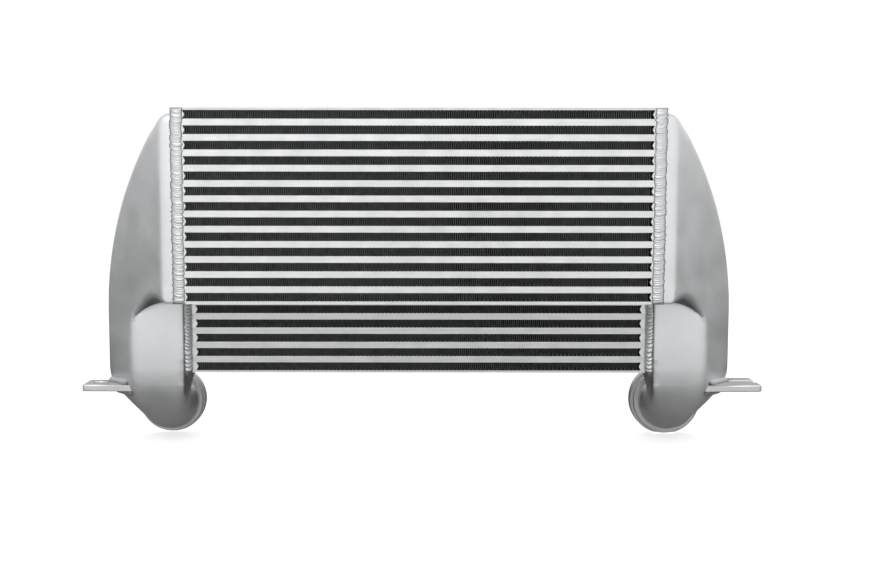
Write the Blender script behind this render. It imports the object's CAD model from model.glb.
# %% [markdown]
# # A charge-air cooler in bare aluminium
# This notebook dresses a bar-and-plate charge-air cooler. Its construction comes ready made, as one mesh
# for each kind of part, at true size and in place. What is left for Blender is the finish of each metal
# and the fine forms that a construction model leaves plain: close-set fins and rippled weld beads.

# %% Load the frame
import math
import random

import bmesh
import bpy
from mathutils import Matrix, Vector
from mathutils.bvhtree import BVHTree


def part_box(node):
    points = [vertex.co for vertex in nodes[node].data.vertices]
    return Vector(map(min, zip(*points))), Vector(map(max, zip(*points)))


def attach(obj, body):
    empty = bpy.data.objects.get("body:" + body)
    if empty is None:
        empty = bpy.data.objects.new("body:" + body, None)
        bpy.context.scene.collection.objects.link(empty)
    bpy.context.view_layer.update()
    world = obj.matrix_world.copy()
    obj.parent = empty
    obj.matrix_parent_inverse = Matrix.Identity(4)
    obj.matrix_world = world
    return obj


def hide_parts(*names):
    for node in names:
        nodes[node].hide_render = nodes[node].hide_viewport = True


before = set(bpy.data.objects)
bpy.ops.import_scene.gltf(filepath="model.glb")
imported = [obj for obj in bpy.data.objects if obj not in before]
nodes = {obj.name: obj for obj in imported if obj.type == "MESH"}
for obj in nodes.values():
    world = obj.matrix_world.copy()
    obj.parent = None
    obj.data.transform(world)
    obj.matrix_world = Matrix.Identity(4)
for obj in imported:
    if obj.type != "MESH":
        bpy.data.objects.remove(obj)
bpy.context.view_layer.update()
print("CAD nodes:", len(nodes))

# %% [markdown]
# ## Sizes
# Blender works in metres here, while a maker thinks in millimetres, so every size below is written in
# millimetres and multiplied by one value. Places are measured from the frame, so that they can't drift.

# %% Places measured on the frame
MM = 0.001
top_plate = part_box("core_top_plate")
step_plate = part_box("core_step_plate")
bottom_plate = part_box("core_bottom_plate")
core_mid = (top_plate[0].x + top_plate[1].x) / 2
core_half = top_plate[1].x - core_mid       # from the core's middle to its end
front_y = top_plate[0].y                    # front face of the upper rows
rear_y = top_plate[1].y                     # back face of the whole core
step_y = bottom_plate[0].y                  # front face of the lower rows
core_top = top_plate[1].z
step_z = step_plate[0].z                    # where the core steps back
core_bottom = bottom_plate[0].z
plate_bottom = top_plate[0].z
print("core:", [round(v / MM, 1) for v in (core_half, front_y, rear_y, step_y, core_bottom, core_top)])

# %% [markdown]
# ## Colour and nodes
# Colours are picked as sRGB hex values, the way they look on a screen, but shaders add up light, so one
# function turns them into linear values. A second one adds a shader node, sets its sockets and links it,
# so that each material below reads as a short list of what it is made of.

# %% Helpers for materials
def linear(hex_colour):
    """sRGB hex colour as the linear RGBA that a shader wants."""
    values = [int(hex_colour[i:i + 2], 16) / 255 for i in (1, 3, 5)]
    return [v / 12.92 if v <= 0.04045 else ((v + 0.055) / 1.055) ** 2.4 for v in values] + [1.0]


def add(tree, kind, sockets=None, **settings):
    """Adds a node. settings are its properties; sockets are values, or the outputs linked to them."""
    node = tree.nodes.new(kind)
    for name, value in settings.items():
        setattr(node, name, value)
    for name, value in (sockets or {}).items():
        if isinstance(value, bpy.types.NodeSocket):
            tree.links.new(value, node.inputs[name])
        else:
            node.inputs[name].default_value = value
    return node


def per_metre(size_mm):
    """Noise scale whose features are about this many millimetres across."""
    return 1 / (size_mm * MM)


def new_metal(name, roughness):
    """A material with one metallic surface; returns it, its tree, the surface and real-size places."""
    made = bpy.data.materials.new(name)
    made.use_nodes = True
    tree = made.node_tree
    tree.nodes.clear()
    metal = add(tree, "ShaderNodeBsdfPrincipled", {"Metallic": 1.0, "Roughness": roughness})
    add(tree, "ShaderNodeOutputMaterial", {"Surface": metal.outputs["BSDF"]})
    place = add(tree, "ShaderNodeTexCoord").outputs["Object"]
    return made, tree, metal, place


print("linear mid grey:", [round(v, 3) for v in linear("#808080")])

# %% [markdown]
# ## Cast aluminium
# The end tanks are sand castings that were blasted with fine beads. That leaves an even satin skin: no
# sharp reflections, a faint pebbled grain and slow, cloudy changes in brightness. A noise as fine as
# the grit would be smaller than a pixel from here, so it is drawn a little coarser than life. The hollow
# above each lobe is darker than the rest. The tank's mesh says how deep in it a point lies, and the
# material mixes towards a darker grey by that.

# %% Cast aluminium
def cast_aluminium():
    """Blasted sand casting: the satin skin gives soft, broad highlights and no mirror image."""
    made, tree, metal, place = new_metal("cast_aluminium", 0.45)
    cloud = add(tree, "ShaderNodeTexNoise", {"Vector": place, "Scale": per_metre(38), "Detail": 3.0})
    skin = add(tree, "ShaderNodeTexNoise", {"Vector": place, "Scale": per_metre(7), "Detail": 2.0})
    grit = add(tree, "ShaderNodeTexNoise", {"Vector": place, "Scale": per_metre(1.1), "Detail": 2.0})
    patch = add(tree, "ShaderNodeMapRange",
                {"Value": cloud.outputs["Fac"], "From Min": 0.3, "From Max": 0.7})
    colour = add(tree, "ShaderNodeMix",
                 {"Factor": patch.outputs["Result"], 6: linear("#DADBDC"), 7: linear("#E5E6E7")},
                 data_type="RGBA")
    hollow = add(tree, "ShaderNodeAttribute", attribute_name="hollow").outputs["Fac"]
    grime = add(tree, "ShaderNodeMix", {"Factor": hollow, 6: colour.outputs[2], 7: linear("#6E7072")},
                data_type="RGBA")
    tree.links.new(grime.outputs[2], metal.inputs["Base Color"])
    dulled = add(tree, "ShaderNodeMapRange",
                 {"Value": patch.outputs["Result"], "To Min": 0.40, "To Max": 0.50})
    tree.links.new(dulled.outputs["Result"], metal.inputs["Roughness"])
    pebbles = add(tree, "ShaderNodeBump",
                  {"Height": skin.outputs["Fac"], "Strength": 0.25, "Distance": 0.25 * MM})
    grain = add(tree, "ShaderNodeBump",
                {"Height": grit.outputs["Fac"], "Strength": 0.3, "Distance": 0.08 * MM,
                 "Normal": pebbles.outputs["Normal"]})
    tree.links.new(grain.outputs["Normal"], metal.inputs["Normal"])
    return made


castings = cast_aluminium()
print("made", castings.name, "with", len(castings.node_tree.nodes), "nodes")

# %% [markdown]
# ## Brazed aluminium
# Bars, plates and sheets are rolled or extruded strip, so they carry fine lines along their length. They
# went through the brazing furnace, which dulls them and leaves soft stains. Stretching a noise along the
# strip gives the lines. The lower, set-back rows and the top plate get a slightly darker tone by eye.

# %% Brazed aluminium
def brazed_aluminium(name, dark, light, along=(1.0, 0.0, 0.0)):
    """Extruded or rolled strip after brazing: fine lines along it and soft stains catch the light."""
    made, tree, metal, place = new_metal(name, 0.4)
    squeeze = [0.03 if part else 1.0 for part in along]
    stretched = add(tree, "ShaderNodeVectorMath", {0: place, 1: squeeze}, operation="MULTIPLY")
    lines = add(tree, "ShaderNodeTexNoise",
                {"Vector": stretched.outputs["Vector"], "Scale": per_metre(0.8), "Detail": 3.0})
    stains = add(tree, "ShaderNodeTexNoise", {"Vector": place, "Scale": per_metre(24), "Detail": 4.0})
    both = add(tree, "ShaderNodeMath", {0: lines.outputs["Fac"], 1: stains.outputs["Fac"]}, operation="ADD")
    patch = add(tree, "ShaderNodeMapRange",
                {"Value": both.outputs["Value"], "From Min": 0.76, "From Max": 1.24})
    colour = add(tree, "ShaderNodeMix",
                 {"Factor": patch.outputs["Result"], 6: linear(dark), 7: linear(light)}, data_type="RGBA")
    tree.links.new(colour.outputs[2], metal.inputs["Base Color"])
    dulled = add(tree, "ShaderNodeMapRange",
                 {"Value": stains.outputs["Fac"], "From Min": 0.3, "From Max": 0.7,
                  "To Min": 0.34, "To Max": 0.48})
    tree.links.new(dulled.outputs["Result"], metal.inputs["Roughness"])
    bump = add(tree, "ShaderNodeBump",
               {"Height": lines.outputs["Fac"], "Strength": 0.2, "Distance": 0.05 * MM})
    tree.links.new(bump.outputs["Normal"], metal.inputs["Normal"])
    return made


bars_finish = brazed_aluminium("brazed_aluminium_bar", "#D6D7D7", "#E6E7E7")
lower_bars_finish = brazed_aluminium("brazed_aluminium_lower_bar", "#C6C7C8", "#DADBDB")
sheet_finish = brazed_aluminium("brazed_aluminium_sheet", "#CECFD0", "#E8E8E8")
end_bar_finish = brazed_aluminium("brazed_aluminium_end_bar", "#D9DADA", "#E6E7E7", (0.0, 1.0, 0.0))
print("made", bars_finish.name, lower_bars_finish.name, sheet_finish.name, end_bar_finish.name)

# %% [markdown]
# ## Fin sheet
# The fins are folded from sheet a fraction of a millimetre thick. Light that enters a fold bounces many
# times and is lost, so a row of fins looks far darker than the sheet that it is made of. The sheet here
# is a middle grey with faint patches, so that the legs just show as stripes.

# %% Fin sheet
def fin_sheet():
    """Thin folded sheet, dulled by the furnace: it stays dark grey with a faint stripe at each leg."""
    made, tree, metal, place = new_metal("furnace_dulled_fin_sheet", 0.55)
    smut = add(tree, "ShaderNodeTexNoise", {"Vector": place, "Scale": per_metre(6), "Detail": 3.0})
    patch = add(tree, "ShaderNodeMapRange",
                {"Value": smut.outputs["Fac"], "From Min": 0.3, "From Max": 0.7})
    colour = add(tree, "ShaderNodeMix",
                 {"Factor": patch.outputs["Result"], 6: linear("#7E8082"), 7: linear("#A2A4A5")},
                 data_type="RGBA")
    tree.links.new(colour.outputs[2], metal.inputs["Base Color"])
    return made


fin_finish = fin_sheet()
print("made", fin_finish.name, "with", len(fin_finish.node_tree.nodes), "nodes")

# %% [markdown]
# ## Weld metal
# A hand-laid bead freezes in overlapping scales, a little greyer than the castings beside it. Along its
# toes, where it meets the parent metal, a dark line is left. The bead's mesh carries how near each point
# is to a toe, and the material mixes by it.

# %% Weld metal
def weld_metal():
    """Frozen weld pool: its scales catch the light, and soot in the toes draws a dark line round it."""
    made, tree, metal, place = new_metal("as_welded_aluminium", 0.4)
    toe = add(tree, "ShaderNodeAttribute", attribute_name="toe").outputs["Fac"]
    smut = add(tree, "ShaderNodeTexNoise", {"Vector": place, "Scale": per_metre(2.5), "Detail": 3.0})
    patch = add(tree, "ShaderNodeMapRange",
                {"Value": smut.outputs["Fac"], "From Min": 0.3, "From Max": 0.7,
                 "To Min": 0.55, "To Max": 1.0})
    soot = add(tree, "ShaderNodeMath", {0: toe, 1: patch.outputs["Result"]}, operation="MULTIPLY")
    colour = add(tree, "ShaderNodeMix",
                 {"Factor": soot.outputs["Value"], 6: linear("#CCCDCE"), 7: linear("#545556")},
                 data_type="RGBA")
    tree.links.new(colour.outputs[2], metal.inputs["Base Color"])
    dulled = add(tree, "ShaderNodeMapRange",
                 {"Value": smut.outputs["Fac"], "From Min": 0.3, "From Max": 0.7,
                  "To Min": 0.34, "To Max": 0.50})
    tree.links.new(dulled.outputs["Result"], metal.inputs["Roughness"])
    return made


weld_finish = weld_metal()
print("made", weld_finish.name, "with", len(weld_finish.node_tree.nodes), "nodes")

# %% [markdown]
# ## Turned aluminium
# The port collars were turned on a lathe, so their marks run round the port's axis. Rings of noise that
# depend only on the distance along that axis and from it give the same lines.

# %% Turned aluminium
def turned_aluminium(centre):
    """Lathe-turned metal: fine rings about the axis through centre, along Y, spread its highlights."""
    made, tree, metal, place = new_metal("turned_aluminium", 0.55)
    away = add(tree, "ShaderNodeVectorMath", {0: place, 1: centre}, operation="SUBTRACT")
    parts = add(tree, "ShaderNodeSeparateXYZ", {"Vector": away.outputs["Vector"]})
    flat = add(tree, "ShaderNodeCombineXYZ", {"X": parts.outputs["X"], "Z": parts.outputs["Z"]})
    radius = add(tree, "ShaderNodeVectorMath", {0: flat.outputs["Vector"]}, operation="LENGTH")
    ring = add(tree, "ShaderNodeCombineXYZ", {"X": radius.outputs["Value"], "Y": parts.outputs["Y"]})
    marks = add(tree, "ShaderNodeTexNoise",
                {"Vector": ring.outputs["Vector"], "Scale": per_metre(0.7), "Detail": 2.0})
    patch = add(tree, "ShaderNodeMapRange",
                {"Value": marks.outputs["Fac"], "From Min": 0.3, "From Max": 0.7})
    colour = add(tree, "ShaderNodeMix",
                 {"Factor": patch.outputs["Result"], 6: linear("#F0F0F0"), 7: linear("#FBFBFB")},
                 data_type="RGBA")
    tree.links.new(colour.outputs[2], metal.inputs["Base Color"])
    bump = add(tree, "ShaderNodeBump",
               {"Height": marks.outputs["Fac"], "Strength": 0.3, "Distance": 0.06 * MM})
    tree.links.new(bump.outputs["Normal"], metal.inputs["Normal"])
    return made


print("turned finish is made for each collar, about its own axis")

# %% [markdown]
# ## A finish for every part
# The parts of the construction keep their meshes and only get their metals. A part's name says what it
# is, so one loop can hand out the finishes. Each collar has its own, because its rings need its centre.

# %% Put the metals on the CAD nodes
def finish_for(name):
    """The metal of one part, from its name."""
    if "tank" in name or "tab" in name:
        return castings
    if "weld" in name:
        return weld_finish
    if "collar" in name:
        low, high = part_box(name)
        return turned_aluminium((low + high) / 2)
    if "fins" in name or "turbulators" in name:
        return fin_finish
    if "end_bars" in name:
        return end_bar_finish
    if "parting" in name:
        return sheet_finish
    if name.startswith("lower") or name == "core_top_plate":
        return lower_bars_finish
    return bars_finish


for name in nodes:
    finish = finish_for(name)
    mesh = nodes[name].data
    if not mesh.materials:
        mesh.materials.append(finish)
    for index in range(len(mesh.materials)):
        mesh.materials[index] = finish
print("finished", len(nodes), "nodes")

# %% [markdown]
# ## Making a piece
# Each piece below is built with bmesh, rides on the cooler's one body and names the CAD node that it
# stands for. One helper does that last part for all of them.

# %% Helper for pieces
sides = (("left", -1), ("right", 1))          # each end's name, and its direction along X


def make_piece(name, mesh, finish, slot, *stands_for, smooth=True):
    """Turns a bmesh into a named piece with its finish, riding on the body."""
    data = bpy.data.meshes.new(name)
    bmesh.ops.recalc_face_normals(mesh, faces=mesh.faces)
    mesh.to_mesh(data)
    mesh.free()
    data.materials.append(finish)
    data.polygons.foreach_set("use_smooth", [smooth] * len(data.polygons))
    piece = bpy.data.objects.new(name, data)
    bpy.context.scene.collection.objects.link(piece)
    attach(piece, "root")
    if stands_for:
        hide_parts(*stands_for)
    print(name, "faces:", len(data.polygons))
    return piece


print("pieces come in pairs:", [side for side, _ in sides])

# %% [markdown]
# ## Cooling fins
# A real fin row is a sheet folded every couple of millimetres into upright legs. Straight channels would
# let daylight through, but on the real core the channels weave from side to side, so it looks black. The
# sheet is built as a square wave with a thickness, carried from front to back through a few stations
# that are shifted left and right in turn. A bump map on a plain block would stay flat at its edges.

# %% Sizes of the fins
leg_pitch = 2.3 * MM          # between one upright leg and the next
sheet = 0.22 * MM             # thickness of the folded sheet, a little over the real 0.15
weave = 2.6 * MM              # how far a channel moves sideways from one station to the next
lanes = 4                     # straight stretches of a channel, front to back
fin_height = 9.4 * MM
print("legs in 100 mm of fin:", round(100 * MM / leg_pitch))


# %% Profile of one row
def fold_profile(start, end, height):
    """Corners of the square wave, as pairs of (x, z) on the sheet's two skins."""
    legs = int((end - start) / leg_pitch)
    spacing = (end - start) / legs
    pairs = []
    for leg in range(legs + 1):
        x = start + leg * spacing
        rising = leg % 2 == 0
        side = -sheet / 2 if rising else sheet / 2
        for at_top in ((False, True) if rising else (True, False)):
            middle = height - sheet / 2 if at_top else sheet / 2
            pairs.append(((x + side, middle + sheet / 2), (x - side, middle - sheet / 2)))
    return pairs


print("corners in 100 mm of fin:", len(fold_profile(0, 100 * MM, fin_height)))


# %% Carry the profile from front to back
def fold_row(mesh, profile, z, y0, y1):
    """Adds one row of fins: the profile at each station, joined into two skins and two edges."""
    stations = []
    for station in range(lanes + 1):
        shift = weave / 2 if station % 2 else -weave / 2
        y = y0 + (y1 - y0) * station / lanes
        stations.append([[mesh.verts.new((x + shift, y, z + up)) for x, up in pair] for pair in profile])
    for before, after in zip(stations, stations[1:]):
        for index in range(len(profile) - 1):
            for skin in (0, 1):
                mesh.faces.new((before[index][skin], before[index + 1][skin],
                                after[index + 1][skin], after[index][skin]))
    for edge in (stations[0], stations[-1]):
        for this, following in zip(edge, edge[1:]):
            mesh.faces.new((this[0], following[0], following[1], this[1]))
    for side in (0, -1):
        for before, after in zip(stations, stations[1:]):
            mesh.faces.new((before[side][0], before[side][1], after[side][1], after[side][0]))


print("stations from front to back:", lanes + 1)


# %% Fold both blocks
def fold_block(node, rows):
    """All the fin rows that a CAD node holds, in its box."""
    low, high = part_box(node)
    mesh = bmesh.new()
    profile = fold_profile(low.x + weave / 2, high.x - weave / 2, fin_height)
    pitch = (high.z - low.z - fin_height) / (rows - 1)
    for row in range(rows):
        fold_row(mesh, profile, low.z + row * pitch, low.y, high.y)
    make_piece(node.replace("cooling", "woven"), mesh, fin_finish, "fin_aluminium", node, smooth=False)


fold_block("upper_cooling_fins", 13)
fold_block("lower_cooling_fins", 5)

# %% [markdown]
# ## Softer castings
# Sand can't hold a sharp edge, so on the real tank every crease is soft, and the edge above the lower lobe
# is turned under, from the flat strip to the lobe's corner. The construction mesh has narrow rounds only.
# A copy of it is remeshed into small even squares, its lower edge is pushed back in a hollow slope, and
# then the creases are relaxed by hand-picked amounts, as a moulder's finger would smooth the pattern.

# %% Places on the tanks
cell = 1.9 * MM                        # edge of a square after the remesh
strip_end = core_half + 17 * MM        # flat strip beside the core, then the flank
flank_slope = math.radians(42)
ledge_bend = core_half + 22 * MM       # level ledge up to here, then it falls by a round
ledge_round = 48 * MM
lobe_y = step_y - 8 * MM               # front face of the lobe
corner_x = strip_end + (lobe_y - front_y) / math.tan(flank_slope)
print("lobe corner from the core's middle:", round(corner_x / MM, 1), "mm")

# %% [markdown]
# ### The turned-under edge
# The hollow is tallest in the middle of its run and fades out at both ends, so a sine gives its height.
# It is deepest right at the ledge, and it fades again towards the lobe, which keeps its place.

# %% Turn the edge above the lobe under
under_height = 12 * MM        # height of the hollow where it is tallest
lead_in = 4 * MM              # the hollow starts this far before the flank
whole_until = 4.5 * MM        # behind the flank's skin; further in, the push fades


def ledge_height(x):
    """Height of the ledge above the lobe, x outwards from the core's middle."""
    if x < ledge_bend:
        return step_z
    return step_z - ledge_round + math.sqrt(max(0.0, ledge_round ** 2 - (x - ledge_bend) ** 2))


def rounded_under(x, y, z):
    """How far the tank's wall is pushed in along the flank's normal, to turn its lower edge under."""
    if not strip_end - lead_in < x < corner_x or z > step_z + under_height:
        return 0.0
    flank_back = max(0.0, x - strip_end) * math.tan(flank_slope)
    room = (lobe_y - front_y - flank_back) * math.cos(flank_slope)
    depth_in = (y - front_y - flank_back) * math.cos(flank_slope)
    along = (x - strip_end + lead_in) / (corner_x - strip_end + lead_in)
    height = under_height * math.sin(math.pi * along ** 1.15) ** 0.75
    above = z - ledge_height(x)
    if not -0.8 * MM < above < height or not -2 * MM < depth_in < room:
        return 0.0
    push = min(1.2 * height, 0.72 * room) * (1 - max(above, 0) / height) ** 1.3
    fade = max(0.0, (depth_in - whole_until) / max(room - whole_until, 1 * MM))
    return push * (1 - fade * fade * (3 - 2 * fade))


print("push where the flank begins:", round(rounded_under(strip_end, front_y, step_z) / MM, 1), "mm")

# %% How soft each crease gets
plain_rounds = 6              # rounds of relaxing on a plain wall
most_rounds = 30


def crease_softness(x, y, z):
    """Rounds of relaxing that a point gets: few on plain walls, more along the creases."""
    if y > rear_y - 1 * MM or x < core_half + 1 * MM:
        return 2              # flat back, and the mouth that meets the core
    if x > strip_end - 6 * MM and abs(z - ledge_height(x)) < 13 * MM and y < lobe_y + 2 * MM:
        return 3              # lip above the lobe
    if abs(z - core_bottom) < 14 * MM and y < 0:
        return 26             # lobe's face into the elbow's underside
    if z < step_z and abs(x - corner_x) < 16 * MM and y < 0:
        return most_rounds    # lobe's face into the flank
    if z > step_z + 16 * MM and abs(x - strip_end) < 14 * MM and y < front_y + 16 * MM:
        return most_rounds    # flat strip into the flank
    return plain_rounds


print("rounds beside the strip's crease:", crease_softness(strip_end, front_y, core_top))

# %% [markdown]
# ### A thicker back edge
# The tank's back edge is rounded by more than its wall is thick, so there the construction's air space
# breaks through to the outside in a narrow slit. A real casting is thicker in such a corner. A rod laid
# along the inside of that edge melts into the wall during the remesh and closes the slit.

# %% Rod inside the back edge
rod_inset = 6.5 * MM          # rod's middle from the outside, on both sides of the corner
rod_radius = 2.6 * MM
sweep_radius = 345 * MM       # outer wall's sweep in front view
sweep_bottom = core_bottom + 64.6 * MM
sweep_step = 1.1              # degrees from one point on the sweep to the next
sweep_points = 41


def rod_points(outer, roof):
    """Places (x, z) of the rod: up the outer wall, round its sweep and along the roof to the core."""
    points = [(outer - rod_inset, core_bottom)]
    for step in range(sweep_points):
        turn = math.radians(sweep_step * step)
        x = outer - sweep_radius + (sweep_radius - rod_inset) * math.cos(turn)
        z = sweep_bottom + (sweep_radius - rod_inset) * math.sin(turn)
        if z < roof:
            points.append((x, z))
    return points + [(points[-1][0] - 2 * MM, roof), (core_half + 3 * MM, roof)]


def corner_rod(side, sign):
    """Mesh of the rod inside one tank's back edge."""
    low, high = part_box(side + "_end_tank")
    outer = sign * (high.x if sign > 0 else low.x) - sign * core_mid
    points = rod_points(outer, high.z - rod_inset)
    line = bpy.data.curves.new(side + "_corner_rod", "CURVE")
    line.dimensions = "3D"
    line.bevel_depth = rod_radius
    line.use_fill_caps = True
    spline = line.splines.new("POLY")
    spline.points.add(len(points) - 1)
    for point, (x, z) in zip(spline.points, points):
        point.co = (core_mid + sign * x, rear_y - rod_inset, z, 1)
    holder = bpy.data.objects.new(line.name, line)
    rod = bpy.data.meshes.new_from_object(holder)
    bpy.data.objects.remove(holder)
    return rod


print("rod's middle lies", round(rod_inset / MM, 1), "mm in from the back edge")


# %% Remesh a tank
def remeshed_tank(side, sign):
    """One mesh of even squares, from the plain tank and its rod."""
    thick = bmesh.new()
    thick.from_mesh(nodes[side + "_end_tank"].data)
    thick.from_mesh(corner_rod(side, sign))
    blank = bpy.data.meshes.new(side + "_tank_blank")
    thick.to_mesh(blank)
    thick.free()
    rough = bpy.data.objects.new(side + "_tank_blank", blank)
    bpy.context.scene.collection.objects.link(rough)
    remesh = rough.modifiers.new("even squares", "REMESH")
    remesh.mode = "VOXEL"
    remesh.voxel_size = cell
    evaluated = rough.evaluated_get(bpy.context.evaluated_depsgraph_get())
    shaped = bpy.data.meshes.new_from_object(evaluated)
    bpy.data.objects.remove(rough)
    mesh = bmesh.new()
    mesh.from_mesh(shaped)
    bpy.data.meshes.remove(shaped)
    return mesh


print("each tank becomes squares of", round(cell / MM, 1), "mm")


# %% Soften both tanks
def soften_tank(side, sign):
    """Rounds and relaxes one remeshed tank; the new piece stands for the plain one."""
    mesh = remeshed_tank(side, sign)
    inwards = Vector((-sign * math.sin(flank_slope), math.cos(flank_slope), 0))
    softness = {}
    hollow = mesh.verts.layers.float.new("hollow")
    for vertex in mesh.verts:
        x, y, z = sign * (vertex.co.x - core_mid), vertex.co.y, vertex.co.z
        softness[vertex] = crease_softness(x, y, z)
        push = rounded_under(x, y, z)
        vertex.co += inwards * push
        vertex[hollow] = min(1.0, push / (6 * MM))
    for turn in range(most_rounds):
        relaxed = [vertex for vertex in mesh.verts if softness[vertex] > turn]
        bmesh.ops.smooth_vert(mesh, verts=relaxed, factor=0.5,
                              use_axis_x=True, use_axis_y=True, use_axis_z=True)
    make_piece(side + "_cast_tank", mesh, castings, "cast_aluminium", side + "_end_tank")


for side, sign in sides:
    soften_tank(side, sign)

# %% [markdown]
# ## Weld beads
# A bead could be one smooth rod with a bump map, but its scales show in its outline, so they are real
# here. The bead is swept along its seam in short steps. Each scale swells and then drops off, its front
# is bowed the way the torch moved, and no two scales are quite the same size. Where the welder went slowly
# the scales stand out; where the pool ran hot they melt together, so their depth varies along the seam.

# %% Sizes of a bead
scale_pitch = 2.6 * MM        # from one frozen scale to the next
corner_pitch = 4.6 * MM       # the same in the corners below the step, where the scales are coarser
scale_bow = 0.9               # how far a scale's front is bowed, in pitches
steps_per_scale = 7
across = 12                   # facets across a bead
buried = 0.4 * MM             # how far a bead's back lies inside the metal
print("scales on an upper seam:", round((core_top - step_z) / scale_pitch))


# %% Scales along a seam
def scale_marks(length, pitch, dice):
    """Where each scale starts along a bead, hand-laid and so uneven."""
    marks = [0.0]
    while marks[-1] < length:
        marks.append(marks[-1] + pitch * dice.uniform(0.7, 1.35))
    return marks


def scale_at(bowed, marks, size, deep):
    """Which scale a place is on, and how far the bead stands out there, as a share of its swell."""
    index = min(max(i for i, mark in enumerate(marks) if mark <= bowed), len(marks) - 2)
    phase = min(1.0, (bowed - marks[index]) / (marks[index + 1] - marks[index]))
    return index, size[index] * (1 - deep * (1 - math.sin(math.pi * phase ** 0.65) ** 0.8))


def path_point(path, s):
    """Point on a path of straight runs, at a distance from its start."""
    for this, following in zip(path, path[1:]):
        run = following - this
        if s <= run.length or following is path[-1]:
            return this + run * (s / run.length)
        s -= run.length


trial = scale_marks(10 * MM, scale_pitch, random.Random(1))
print("scales on a trial bead start at:", [round(mark / MM, 1) for mark in trial], "mm")


# %% Empty bead, and its skin
def bead_mesh():
    """Empty bmesh with the layer that holds how near a point is to a toe."""
    mesh = bmesh.new()
    return mesh, mesh.verts.layers.float.new("toe")


def join_rings(mesh, rings):
    """Skins the rings of a bead and closes its two ends."""
    for before, after in zip(rings, rings[1:]):
        for index in range(len(before)):
            following = (index + 1) % len(before)
            mesh.faces.new((before[index], before[following], after[following], after[index]))
    mesh.faces.new(rings[0])
    mesh.faces.new(list(reversed(rings[-1])))


print("points in a ring:", across + 2)


# %% How a bead is laid
def lay_bead(mesh, toe_layer, path, toes, root, swell, seed, pitch=scale_pitch,
             relief=(0.05, 0.16), soot=(1.0, 0.35)):
    """Adds a bead along a path. toes are its two edges and root its buried back, as offsets from the
    seam; swell is how far its face stands out; pitch is from scale to scale; relief is how deep the
    scales are at the path's two ends, and soot is how dark the two toes are."""
    dice = random.Random(seed)
    length = sum((b - a).length for a, b in zip(path, path[1:]))
    first, second = (Vector(toe) for toe in toes)
    chord = second - first
    out = chord.cross(path[-1] - path[0]).normalized()
    if out.dot(Vector(root) - (first + second) / 2) > 0:
        out = -out
    marks = scale_marks(length + 2 * pitch, pitch, dice)
    size = [dice.uniform(0.9, 1.1) for _ in marks]
    drift = [dice.uniform(-0.05, 0.05) for _ in marks]
    stations = int(length / scale_pitch * steps_per_scale)
    rings = []
    for station in range(stations + 1):
        s = length * station / stations
        centre = path_point(path, s)
        ends = min(1.0, math.sqrt(max(0.02, min(s, length - s) / (1.2 * scale_pitch))))
        deep = relief[0] + (relief[1] - relief[0]) * s / length
        ring = []
        for step in range(across + 1):
            u = -1 + 2 * step / across
            bowed = s + scale_pitch * (scale_bow * (1 - u * u) + 0.4 + 0.5 * (u + 1))
            index, scale = scale_at(bowed, marks, size, deep)
            dome = max(0.0, 1 - u * u) ** 0.6
            place = (first + second) / 2 + chord * (u / 2) * (0.9 + 0.1 * scale)
            place += drift[index] * chord * abs(u)
            place += out * swell * dome * scale * ends
            vertex = mesh.verts.new(centre + place)
            vertex[toe_layer] = max(abs(u) ** 6 * (soot[0] if u < 0 else soot[1]), 0.9 * (1 - ends))
            ring.append(vertex)
        back = mesh.verts.new(centre + Vector(root))
        back[toe_layer] = 1.0
        ring.append(back)
        rings.append(ring)
    join_rings(mesh, rings)


print("steps along 10 mm of bead:", int(10 * MM / scale_pitch * steps_per_scale))

# %% [markdown]
# ### The beads between core and tanks
# The front beads are wide enough to cover the ends of the bars, from the fins to the tank's flat strip. In
# the step below them the bead fills an inside corner, where the torch has little room, so it is lumpier.

# %% Beads in front
def straight(seam, start, end):
    """Path from start to end along one straight seam."""
    return [seam + Vector(start), seam + Vector(end)]


def wide_toes(sign):
    """Edges of a bead that covers the end bars: towards the tank, and towards the fins."""
    return Vector((sign * 5.8 * MM, 0, 0)), Vector((-sign * 7.6 * MM, 0, 0))


def front_bead(side, sign):
    """The flat bead beside the upper rows, and the corner bead beside the lower ones."""
    mesh, toe = bead_mesh()
    seam = Vector((core_mid + sign * core_half, front_y, 0))
    lay_bead(mesh, toe, straight(seam, (0, 0, step_z), (0, 0, core_top)), wide_toes(sign),
             (0, buried, 0), 2.6 * MM, 10 + sign, relief=(0.22, 0.07))
    corner = Vector((core_mid + sign * (core_half + 4 * MM), step_y, 0))
    lay_bead(mesh, toe, straight(corner, (0, 0, core_bottom), (0, 0, step_z)),
             ((-sign * 7.5 * MM, 0.2 * MM, 0), (sign * 0.2 * MM, -6.0 * MM, 0)),
             (sign * buried, buried, 0), 3.4 * MM, 20 + sign, pitch=corner_pitch, relief=(0.5, 0.5),
             soot=(0.9, 0.8))
    make_piece(side + "_front_bead", mesh, weld_finish, "weld_aluminium", side + "_front_weld")


print("front beads are", round((wide_toes(1)[0] - wide_toes(1)[1]).length / MM, 1), "mm wide")


# %% Beads behind, above and below
def rear_bead(side, sign):
    """Flat bead down the back of the core's end."""
    mesh, toe = bead_mesh()
    seam = Vector((core_mid + sign * core_half, rear_y, 0))
    lay_bead(mesh, toe, straight(seam, (0, 0, core_bottom), (0, 0, core_top)), wide_toes(sign),
             (0, -buried, 0), 2.6 * MM, 30 + sign, relief=(0.16, 0.12))
    make_piece(side + "_rear_bead", mesh, weld_finish, "weld_aluminium", side + "_rear_weld")


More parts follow.
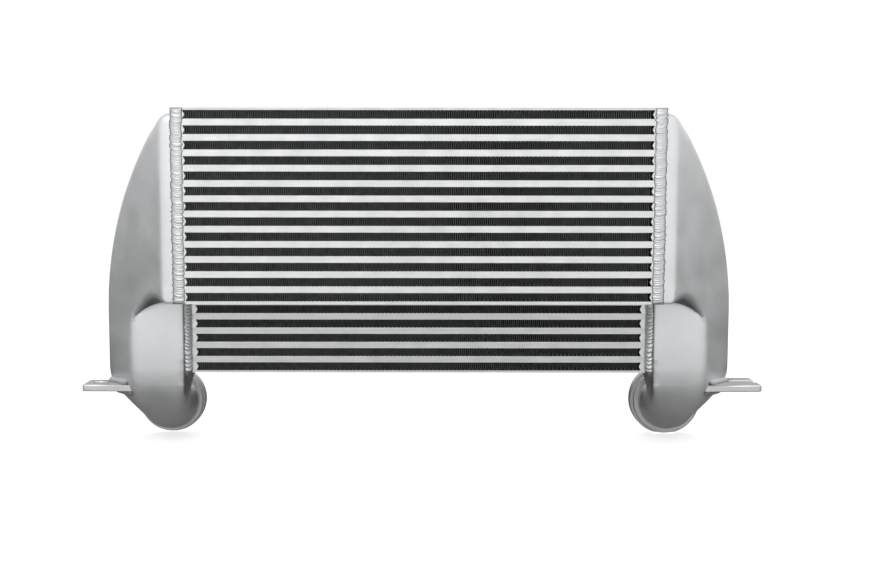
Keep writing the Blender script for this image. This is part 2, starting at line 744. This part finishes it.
def top_bead(side, sign):
    """Corner bead between the tank's roof and the end of the core."""
    mesh, toe = bead_mesh()
    roof = Vector((core_mid + sign * core_half, 0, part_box(side + "_end_tank")[1].z))
    lay_bead(mesh, toe, straight(roof, (0, front_y, 0), (0, rear_y, 0)),
             ((sign * 5 * MM, 0, -0.2 * MM), (-sign * 0.2 * MM, 0, 5 * MM)), (-sign * buried, 0, -buried),
             1.5 * MM, 40 + sign, relief=(0.15, 0.15))
    make_piece(side + "_top_bead", mesh, weld_finish, "weld_aluminium", side + "_top_weld")


def bottom_bead(side, sign):
    """Corner bead between the core's bottom and the inner side of the elbow."""
    mesh, toe = bead_mesh()
    under = Vector((core_mid + sign * (core_half + 4 * MM), 0, core_bottom))
    low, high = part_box(side + "_bottom_weld")
    lay_bead(mesh, toe, straight(under, (0, low.y, 0), (0, high.y, 0)),
             ((-sign * 5 * MM, 0, 0.2 * MM), (sign * 0.2 * MM, 0, -5 * MM)), (sign * buried, 0, buried),
             1.5 * MM, 50 + sign, relief=(0.15, 0.15))
    make_piece(side + "_bottom_bead", mesh, weld_finish, "weld_aluminium", side + "_bottom_weld")


for side, sign in sides:
    front_bead(side, sign)
    rear_bead(side, sign)
    top_bead(side, sign)
    bottom_bead(side, sign)

# %% [markdown]
# ## Mounting tabs
# Each tab is cut from thick plate and its edges are dressed with a file, so no edge is sharp and the light
# runs along a thin bright line. The construction's tab is copied, its flat faces are joined up again and
# a bevel goes round every open edge. Only the bevels are shaded smooth, which keeps the faces flat. The
# plate has the same satin skin as the tank that it is welded to, so it shares the tank's finish.

# %% Dress the edges of the tabs
dressed = 1.7 * MM            # how far the file went in from each edge


def wall_of(side):
    """The plain tank's wall, ready for nearest points and rays."""
    plain = nodes[side + "_end_tank"].data
    return BVHTree.FromPolygons([vertex.co for vertex in plain.vertices],
                                [polygon.vertices for polygon in plain.polygons])


def dress_tab(side):
    """Copies one tab with its open edges rounded; the new piece stands for the plain one."""
    wall = wall_of(side)
    mesh = bmesh.new()
    mesh.from_mesh(nodes[side + "_mounting_tab"].data)
    bmesh.ops.remove_doubles(mesh, verts=mesh.verts, dist=0.01 * MM)
    bmesh.ops.dissolve_limit(mesh, angle_limit=math.radians(1), verts=mesh.verts, edges=mesh.edges)
    sharp = []
    for edge in mesh.edges:
        at_root = all(wall.find_nearest(vertex.co, 1.0 * MM)[0] is not None for vertex in edge.verts)
        if edge.is_manifold and not at_root and edge.calc_face_angle() > math.radians(40):
            sharp.append(edge)
    bmesh.ops.bevel(mesh, geom=sharp, offset=dressed, offset_type="OFFSET", segments=4, profile=0.5,
                    affect="EDGES", clamp_overlap=False)
    bmesh.ops.triangulate(mesh, faces=[face for face in mesh.faces if len(face.verts) > 4])
    tab = make_piece(side + "_dressed_tab", mesh, castings, "cast_aluminium", side + "_mounting_tab",
                     smooth=False)
    for face in tab.data.polygons:
        face.use_smooth = max(abs(part) for part in face.normal) < 0.995
    print(side, "tab: edges dressed", len(sharp))


for side, sign in sides:
    dress_tab(side)

# %% [markdown]
# ### The beads at the mounting tabs
# Each tab is a cut plate that is welded to the tank along its root, above and below. The root follows the
# tank's wall, which slopes and curves there, so rays shot at the wall from outside find the bead's path.

# %% Lay the beads at the tab roots
root_rays = 7                 # rays shot at the wall along one root
root_inset = 1.5 * MM         # a bead stops this far inside the tab's front and back edges


def root_path(side, sign, z):
    """Points along the tank's wall at one height, from the tab's front edge to its back."""
    wall = wall_of(side)
    low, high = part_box(side + "_mounting_tab")
    points = []
    for ray in range(root_rays):
        y = low.y + root_inset + (high.y - low.y - 2 * root_inset) * ray / (root_rays - 1)
        start = Vector((core_mid + sign * 0.5, y, z))
        found = wall.ray_cast(start, Vector((-sign, 0, 0)))[0]
        if found is not None:
            points.append(Vector((found.x, y, z)))
    return points


for side, sign in sides:
    low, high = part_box(side + "_mounting_tab")
    mesh, toe = bead_mesh()
    for z, up in ((high.z, 1), (low.z, -1)):
        lay_bead(mesh, toe, root_path(side, sign, z + up * 0.3 * MM),
                 ((sign * 5.5 * MM, 0, -up * 0.3 * MM), (-sign * 0.5 * MM, 0, up * 5.5 * MM)),
                 (-sign * buried, 0, -up * buried), 1.4 * MM, 60 + sign + up, relief=(0.12, 0.12),
                 soot=(0.7, 0.5))
    make_piece(side + "_tab_bead", mesh, weld_finish, "weld_aluminium")

# %% [markdown]
# ## Light, floor and camera
# Bare metal has no colour of its own to show: it mirrors the room. So the studio is built for the
# reflections. The open front is white, which makes every face that looks forwards bright. Grey cards at
# the sides tone the flanks down, and dark cards behind, on the ground and beside the elbows give the
# undersides and the inner walls their depth. A small one stands low in front, where a camera's stand
# would be mirrored. The cards are hidden from the camera, and they cast no shadow.

# %% World
world_fill = 0.5              # light that the world gives to plain surfaces


def seen_or_mirrored(tree):
    """Socket that is 1 where the camera looks, straight or by a mirror image, and 0 for all other light."""
    path = add(tree, "ShaderNodeLightPath").outputs
    mirrored = add(tree, "ShaderNodeMath", {0: path["Is Glossy Ray"], 1: path["Is Transmission Ray"]},
                   operation="MAXIMUM")
    seen = add(tree, "ShaderNodeMath", {0: path["Is Camera Ray"], 1: mirrored.outputs["Value"]},
               operation="MAXIMUM")
    return seen.outputs["Value"]


def paint_world(fill):
    """White to the camera and in reflections, and a plain grey fill for everything else."""
    world = bpy.data.worlds.new("studio")
    bpy.context.scene.world = world
    world.use_nodes = True
    tree = world.node_tree
    tree.nodes.clear()
    seen = seen_or_mirrored(tree)
    strength = add(tree, "ShaderNodeMapRange",
                   {"Value": seen, "To Min": fill, "To Max": 1.0})
    back = add(tree, "ShaderNodeBackground",
               {"Color": (1.0, 1.0, 1.0, 1.0), "Strength": strength.outputs["Result"]})
    add(tree, "ShaderNodeOutputWorld", {"Surface": back.outputs["Background"]})


paint_world(world_fill)
print("world: white to the eye, fill", world_fill)


# %% Sheets for the studio
def flat_sheet(name, corners, material):
    """Flat four-cornered sheet that belongs to the studio, not to the object."""
    data = bpy.data.meshes.new(name)
    data.from_pydata(corners, [], [(0, 1, 2, 3)])
    data.materials.append(material)
    made = bpy.data.objects.new(name, data)
    bpy.context.scene.collection.objects.link(made)
    return made


def across_x(x, y0, y1, z0, z1):
    """Corners of an upright sheet that looks along X."""
    return [(x, y0, z0), (x, y1, z0), (x, y1, z1), (x, y0, z1)]


def across_y(y, x0, x1, z0, z1):
    """Corners of an upright sheet that looks along Y."""
    return [(x0, y, z0), (x1, y, z0), (x1, y, z1), (x0, y, z1)]


def across_z(z, x0, x1, y0, y1):
    """Corners of a level sheet."""
    return [(x0, y0, z), (x1, y0, z), (x1, y1, z), (x0, y1, z)]


print("corners of an upright sheet, 1 m by 1 m:", across_x(0, 0, 1, 0, 1))


# %% Floor
def pale_floor():
    """White paper: lit to white where nothing shades it, and it keeps the object's soft shadow."""
    made = bpy.data.materials.new("white_paper")
    made.use_nodes = True
    tree = made.node_tree
    tree.nodes.clear()
    seen = seen_or_mirrored(tree)
    paper = add(tree, "ShaderNodeBsdfDiffuse", {"Color": linear("#F4F4F4")})
    lift = add(tree, "ShaderNodeEmission", {"Color": (1.0, 1.0, 1.0, 1.0), "Strength": 0.62})
    both = add(tree, "ShaderNodeAddShader", {0: paper.outputs["BSDF"], 1: lift.outputs["Emission"]})
    mix = add(tree, "ShaderNodeMixShader",
              {"Fac": seen, 1: paper.outputs["BSDF"], 2: both.outputs["Shader"]})
    add(tree, "ShaderNodeOutputMaterial", {"Surface": mix.outputs["Shader"]})
    return made


floor = flat_sheet("floor", across_z(0, -9, 9, -9, 9), pale_floor())
print("laid the", floor.name, "in", floor.data.materials[0].name)


# %% Cards
def card(name, corners, level=1.0):
    """Reflector or dark card: it shows in the metal, not to the camera, and casts no shadow."""
    paper = bpy.data.materials.new(name + "_paper")
    paper.use_nodes = True
    tree = paper.node_tree
    tree.nodes.clear()
    light = add(tree, "ShaderNodeEmission", {"Color": (level, level, level, 1.0), "Strength": 1.0})
    add(tree, "ShaderNodeOutputMaterial", {"Surface": light.outputs["Emission"]})
    made = flat_sheet(name, corners, paper)
    made.visible_camera = False
    made.visible_shadow = False
    made.visible_diffuse = False
    return made


def graded_card(name, corners, axis, middle, start, end, first, last):
    """Card whose glow runs from one level to another, by the distance from the middle on an axis."""
    made = card(name, corners)
    tree = made.data.materials[0].node_tree
    light = next(node for node in tree.nodes if node.type == "EMISSION")
    place = add(tree, "ShaderNodeTexCoord").outputs["Object"]
    parts = add(tree, "ShaderNodeSeparateXYZ", {"Vector": place})
    away = add(tree, "ShaderNodeMath", {0: parts.outputs[axis], 1: middle}, operation="SUBTRACT")
    distance = add(tree, "ShaderNodeMath", {0: away.outputs["Value"]}, operation="ABSOLUTE")
    level = add(tree, "ShaderNodeMapRange",
                {"Value": distance.outputs["Value"], "From Min": start, "From Max": end,
                 "To Min": first, "To Max": last}, interpolation_type="SMOOTHSTEP")
    tree.links.new(level.outputs["Result"], light.inputs["Strength"])


print("two ways to make a card: even, or graded along an axis")

# %% Set out the cards
graded_card("left_card", across_x(-1.5, -0.7, 1.6, 0.01, 1.8), "Z", 0.0, 0.0, 0.7, 0.2, 0.85)
graded_card("right_card", across_x(1.5, -0.7, 1.6, 0.01, 1.8), "Z", 0.0, 0.0, 0.7, 0.25, 1.0)
card("back_card", across_y(1.7, -1.6, 1.6, 0.01, 2.0), 0.25)
graded_card("ground_card", across_z(0.002, -1.5, 1.5, -0.9, 1.7), "Y", 0.3, 0.05, 1.15, 0.1, 0.92)
for name, x in (("left_gap_card", -0.2), ("right_gap_card", 0.2)):      # beside each elbow's inner wall
    card(name, across_x(x, -0.03, 0.5, 0.002, 0.088), 0.02)
card("camera_stand", across_y(-1.5, -0.12, 0.3, 0.0, 0.24), 0.3)

# %% [markdown]
# ### Lamps
# The reflections do most of the work, so two weak soft boxes are enough: one from the front and above,
# which the top faces show, and one from behind, which keeps the back from going flat.


# %% Lamps
def soft_lamp(name, place, target, width, height, power):
    """Square soft box at a place, turned to its target."""
    light = bpy.data.lights.new(name, "AREA")
    light.shape = "RECTANGLE"
    light.size = width
    light.size_y = height
    light.energy = power
    lamp = bpy.data.objects.new(name, light)
    lamp.location = place
    lamp.rotation_euler = (Vector(target) - Vector(place)).to_track_quat("-Z", "Y").to_euler()
    bpy.context.scene.collection.objects.link(lamp)
    print(name, "lamp:", power, "W")


soft_lamp("key", (-0.3, -1.7, 1.5), (0, 0, 0.25), 1.4, 0.8, 9)
soft_lamp("back", (0.0, 1.7, 1.5), (0, 0, 0.2), 1.6, 0.9, 6)

# %% [markdown]
# ### Camera
# The cooler is seen from the front, a little from above and from just over a metre, with a lens that is a
# bit longer than normal. So the rows stay nearly level, and the ports show beside the tanks' lobes.

# %% Place the camera
image_width = 869
away = 1142.7 * MM            # in front of the core's face
below = 88.5 * MM             # under the top plate
tilt = 4.90                   # degrees, looking down
roll = -0.05

camera_data = bpy.data.cameras.new("camera")
camera_data.lens = 43.5
camera_data.sensor_width = 36
camera_data.shift_x = 12.6 / image_width
camera = bpy.data.objects.new("camera", camera_data)
camera.location = (core_mid + 3.6 * MM, front_y - away, plate_bottom - below)
camera.rotation_euler = (math.radians(90 - tilt), math.radians(roll), 0)
bpy.context.scene.collection.objects.link(camera)
bpy.context.scene.camera = camera
bpy.context.scene.view_settings.view_transform = "Standard"
print("camera at", [round(part, 3) for part in camera.location], "lens", camera_data.lens, "mm")
